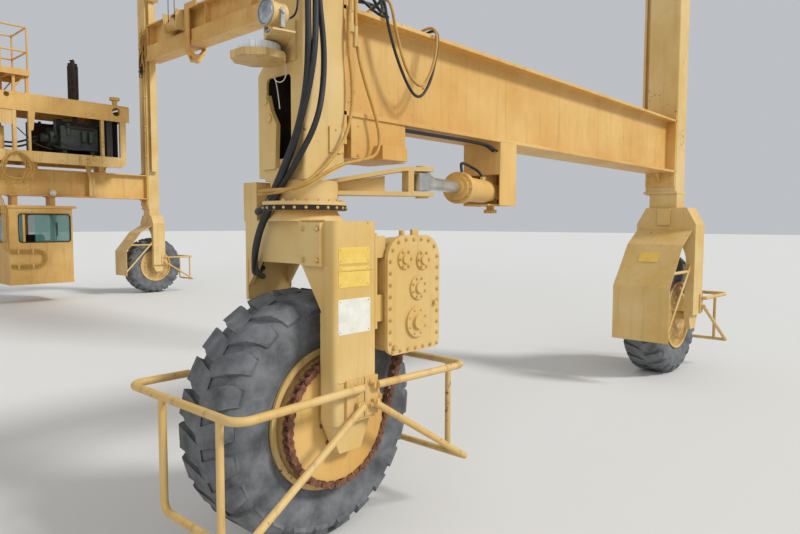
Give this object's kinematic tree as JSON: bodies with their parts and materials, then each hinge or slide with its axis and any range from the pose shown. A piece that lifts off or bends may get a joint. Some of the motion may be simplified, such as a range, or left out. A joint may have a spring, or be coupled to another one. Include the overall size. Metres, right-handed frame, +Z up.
{
  "type": "mobile gantry crane",
  "caption": "Rubber-tyred mobile gantry crane with two lifting beams between four legs, driven and steered wheel forks, engine house and cab on one side.",
  "frame": {"origin": "on the ground at the middle of the overall box, between the four wheels", "axes": "+X is the travel direction, from the driven wheels to the idle wheels; +Y runs across the lane to the frame with engine and cab; +Z is up"},
  "size_m": [7.836, 15.3149, 9.3],
  "materials": {
    "cab_door": "faded warm yellow enamel, rust at edges",
    "cab_door_glass": "greenish safety glass",
    "cab_floor": "faded warm yellow enamel, rust at edges",
    "cab_glass": "greenish safety glass",
    "cab_roof": "faded warm yellow enamel, rust at edges",
    "cab_seat": "black vinyl",
    "cab_walls": "faded warm yellow enamel, rust at edges",
    "chain_far": "rusty roller chain",
    "chain_near": "rusty roller chain",
    "deck": "faded warm yellow enamel, rust at edges",
    "engine_block": "dark green engine paint, oily",
    "engine_frame": "faded warm yellow enamel, rust at edges",
    "engine_hood": "faded warm yellow enamel, rust at edges",
    "exhaust_stack": "dark rusty steel",
    "fenders": "faded warm yellow enamel, rust at edges",
    "fork_drive_far": "faded warm yellow enamel, rust at edges",
    "fork_drive_near": "faded warm yellow enamel, rust at edges",
    "forks_idle": "faded warm yellow enamel, rust at edges",
    "gearbox_far": "faded warm yellow enamel, rust at edges",
    "gearbox_near": "faded warm yellow enamel, rust at edges",
    "guard_drive_far": "faded warm yellow enamel, rust at edges",
    "guard_drive_near": "faded warm yellow enamel, rust at edges",
    "guards_idle": "faded warm yellow enamel, rust at edges",
    "hoist_beam_drive": "faded warm yellow enamel, rust at edges",
    "hoist_beam_idle": "faded warm yellow enamel, rust at edges",
    "hydraulic_tank": "faded warm yellow enamel, rust at edges",
    "legs_drive": "faded warm yellow enamel, rust at edges",
    "legs_idle": "faded warm yellow enamel, rust at edges",
    "radiator": "dusty black radiator core in its frame",
    "sills": "faded warm yellow enamel, rust at edges",
    "steer_barrel_far": "faded warm yellow enamel, rust at edges",
    "steer_barrel_near": "faded warm yellow enamel, rust at edges",
    "steer_rod_far": "plated rod",
    "steer_rod_near": "plated rod",
    "top_beams": "faded warm yellow enamel, rust at edges",
    "trolley_drive_far": "faded warm yellow enamel, rust at edges",
    "trolley_drive_near": "faded warm yellow enamel, rust at edges",
    "trolley_idle_far": "faded warm yellow enamel, rust at edges",
    "trolley_idle_near": "faded warm yellow enamel, rust at edges",
    "tyre_drive_far": "worn grey-black rubber",
    "tyre_drive_near": "worn grey-black rubber",
    "tyre_idle_far": "worn grey-black rubber",
    "tyre_idle_near": "worn grey-black rubber",
    "wheel_drive_far": "faded warm yellow enamel, rust at edges",
    "wheel_drive_near": "faded warm yellow enamel, rust at edges",
    "wheel_idle_far": "faded warm yellow enamel, rust at edges",
    "wheel_idle_near": "faded warm yellow enamel, rust at edges",
    "winches_drive": "worn yellow drum",
    "winches_idle": "worn yellow drum",
    "work_lamps": "weathered lamp"
  },
  "bodies": {
    "frame": {"cab_floor": "cab_floor", "cab_glass": "cab_glass", "cab_roof": "cab_roof", "cab_seat": "cab_seat", "cab_walls": "cab_walls", "deck": "deck", "engine_block": "engine_block", "engine_frame": "engine_frame", "engine_hood": "engine_hood", "exhaust_stack": "exhaust_stack", "fenders": "fenders", "forks_idle": "forks_idle", "guards_idle": "guards_idle", "hydraulic_tank": "hydraulic_tank", "legs_drive": "legs_drive", "legs_idle": "legs_idle", "radiator": "radiator", "sills": "sills", "top_beams": "top_beams", "work_lamps": "work_lamps"},
    "wheel_drive_near_body": {"tyre_drive_near": "tyre_drive_near", "wheel_drive_near": "wheel_drive_near"},
    "wheel_idle_near_body": {"tyre_idle_near": "tyre_idle_near", "wheel_idle_near": "wheel_idle_near"},
    "steered_fork_near": {"fork_drive_near": "fork_drive_near", "gearbox_near": "gearbox_near", "chain_near": "chain_near", "guard_drive_near": "guard_drive_near"},
    "barrel_near": {"steer_barrel_near": "steer_barrel_near"},
    "rod_near": {"steer_rod_near": "steer_rod_near"},
    "wheel_drive_far_body": {"tyre_drive_far": "tyre_drive_far", "wheel_drive_far": "wheel_drive_far"},
    "wheel_idle_far_body": {"tyre_idle_far": "tyre_idle_far", "wheel_idle_far": "wheel_idle_far"},
    "steered_fork_far": {"fork_drive_far": "fork_drive_far", "gearbox_far": "gearbox_far", "chain_far": "chain_far", "guard_drive_far": "guard_drive_far"},
    "barrel_far": {"steer_barrel_far": "steer_barrel_far"},
    "rod_far": {"steer_rod_far": "steer_rod_far"},
    "lifting_drive": {"hoist_beam_drive": "hoist_beam_drive", "winches_drive": "winches_drive"},
    "trolley_drive_near_body": {"trolley_drive_near": "trolley_drive_near"},
    "trolley_drive_far_body": {"trolley_drive_far": "trolley_drive_far"},
    "lifting_idle": {"hoist_beam_idle": "hoist_beam_idle", "winches_idle": "winches_idle"},
    "trolley_idle_near_body": {"trolley_idle_near": "trolley_idle_near"},
    "trolley_idle_far_body": {"trolley_idle_far": "trolley_idle_far"},
    "door": {"cab_door": "cab_door", "cab_door_glass": "cab_door_glass"}
  },
  "joints": [
    {"name": "steer_near", "type": "hinge", "parent": "frame", "child": "steered_fork_near", "pos_m": [-3, -7.05, 2.32], "axis": [0, 0, 1], "range_deg": [-20, 20]},
    {"name": "wheel_drive_near_spin", "type": "hinge", "parent": "steered_fork_near", "child": "wheel_drive_near_body", "pos_m": [-3, -7.05, 0.76], "axis": [0, 1, 0], "continuous": true},
    {"name": "wheel_idle_near_spin", "type": "hinge", "parent": "frame", "child": "wheel_idle_near_body", "pos_m": [3, -7.05, 0.76], "axis": [0, 1, 0], "continuous": true},
    {"name": "cylinder_swing_near", "type": "hinge", "parent": "frame", "child": "barrel_near", "pos_m": [-1, -7.05, 2.19], "axis": [0, 0, 1], "range_deg": [-6.89, 6.89]},
    {"name": "cylinder_stroke_near", "type": "slide", "parent": "barrel_near", "child": "rod_near", "axis": [-0.9584, -0.2855, 0], "range_m": [-0.191, 0.191]},
    {"name": "steer_far", "type": "hinge", "parent": "frame", "child": "steered_fork_far", "pos_m": [-3, 7.05, 2.32], "axis": [0, 0, 1], "range_deg": [-20, 20]},
    {"name": "wheel_drive_far_spin", "type": "hinge", "parent": "steered_fork_far", "child": "wheel_drive_far_body", "pos_m": [-3, 7.05, 0.76], "axis": [0, 1, 0], "continuous": true},
    {"name": "wheel_idle_far_spin", "type": "hinge", "parent": "frame", "child": "wheel_idle_far_body", "pos_m": [3, 7.05, 0.76], "axis": [0, 1, 0], "continuous": true},
    {"name": "cylinder_swing_far", "type": "hinge", "parent": "frame", "child": "barrel_far", "pos_m": [-1, 7.05, 2.19], "axis": [0, 0, 1], "range_deg": [-6.89, 6.89]},
    {"name": "cylinder_stroke_far", "type": "slide", "parent": "barrel_far", "child": "rod_far", "axis": [-0.9584, -0.2855, 0], "range_m": [-0.191, 0.191]},
    {"name": "hoist_drive", "type": "slide", "parent": "frame", "child": "lifting_drive", "axis": [0, 0, 1], "range_m": [-2.85, 0.4]},
    {"name": "trolley_drive_near_travel", "type": "slide", "parent": "lifting_drive", "child": "trolley_drive_near_body", "axis": [0, 1, 0], "range_m": [0, 1.5]},
    {"name": "trolley_drive_far_travel", "type": "slide", "parent": "lifting_drive", "child": "trolley_drive_far_body", "axis": [0, 1, 0], "range_m": [-1.5, 0]},
    {"name": "hoist_idle", "type": "slide", "parent": "frame", "child": "lifting_idle", "axis": [0, 0, 1], "range_m": [-2.85, 0.4]},
    {"name": "trolley_idle_near_travel", "type": "slide", "parent": "lifting_idle", "child": "trolley_idle_near_body", "axis": [0, 1, 0], "range_m": [0, 1.5]},
    {"name": "trolley_idle_far_travel", "type": "slide", "parent": "lifting_idle", "child": "trolley_idle_far_body", "axis": [0, 1, 0], "range_m": [-1.5, 0]},
    {"name": "cab_door_hinge", "type": "hinge", "parent": "frame", "child": "door", "pos_m": [-0.63, 7.676, 1.4], "axis": [0, 0, 1], "range_deg": [0, 100]}
  ],
  "couplings": [
    {"joint": "cylinder_swing_near", "follows": "steer_near", "ratio": -0.3393},
    {"joint": "cylinder_stroke_near", "follows": "steer_near", "m_per_rad": -0.5444},
    {"joint": "cylinder_swing_far", "follows": "steer_far", "ratio": -0.3393},
    {"joint": "cylinder_stroke_far", "follows": "steer_far", "m_per_rad": -0.5444}
  ]
}
